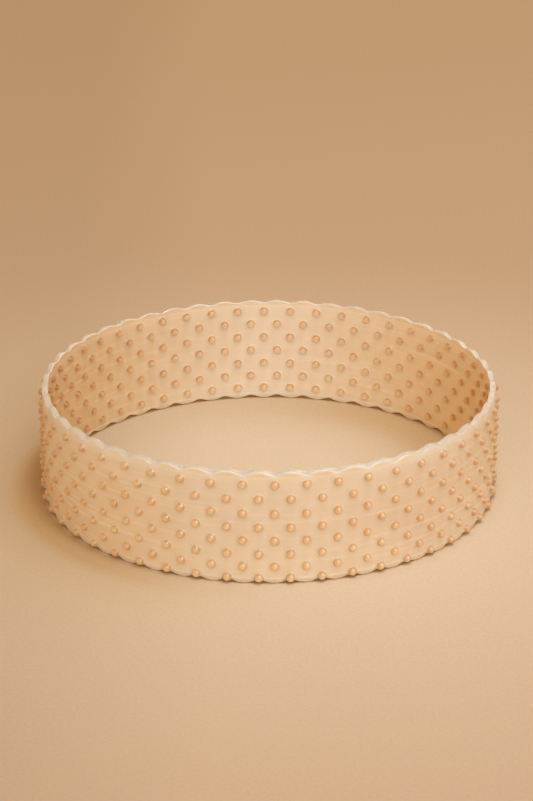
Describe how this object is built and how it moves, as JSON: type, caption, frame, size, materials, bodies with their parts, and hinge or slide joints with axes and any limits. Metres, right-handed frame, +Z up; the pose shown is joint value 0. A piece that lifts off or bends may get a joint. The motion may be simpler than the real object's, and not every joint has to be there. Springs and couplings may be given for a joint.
{
  "type": "wig grip band",
  "caption": "Seamless stretch silicone hoop with scalloped edges and staggered round grip dots inside and out, worn around the head to hold a wig in place.",
  "frame": {"origin": "centre of the circle that the lower scallops stand on", "axes": "+Z up along the hoop's axis, -Y towards the front of the band in the picture, +X to its right"},
  "size_m": [0.1586, 0.1586, 0.0395],
  "materials": {
    "silicone": "soft translucent silicone with a satin gloss"
  },
  "bodies": {
    "root": {"grip_band": "silicone"}
  },
  "joints": []
}
